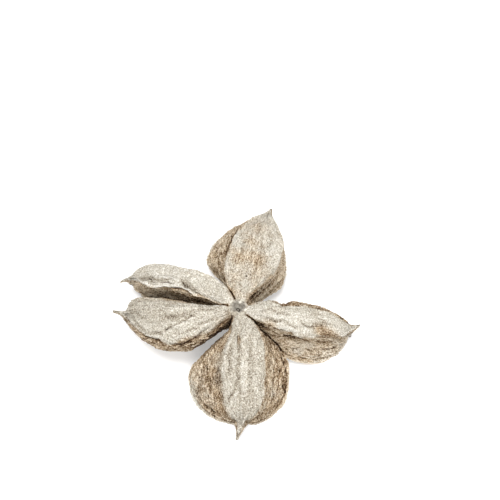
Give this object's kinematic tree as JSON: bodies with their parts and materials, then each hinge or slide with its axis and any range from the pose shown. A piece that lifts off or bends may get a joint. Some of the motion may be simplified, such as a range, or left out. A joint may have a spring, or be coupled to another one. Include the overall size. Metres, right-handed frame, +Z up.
{
  "type": "land lotus pod",
  "caption": "Dry star-shaped seed pod of open, boat-shaped follicles round a stalk scar, lying with its openings down.",
  "frame": {"origin": "centre of the pod's outline, on the surface that its lips rest on", "axes": "+Z up through the stalk scar, -Y along the broad front follicle, +X along the right-hand follicle"},
  "size_m": [0.1032, 0.1048, 0.0233],
  "materials": {
    "husk": "dry, leathery, matte"
  },
  "bodies": {
    "root": {"pod": "husk"}
  },
  "joints": []
}
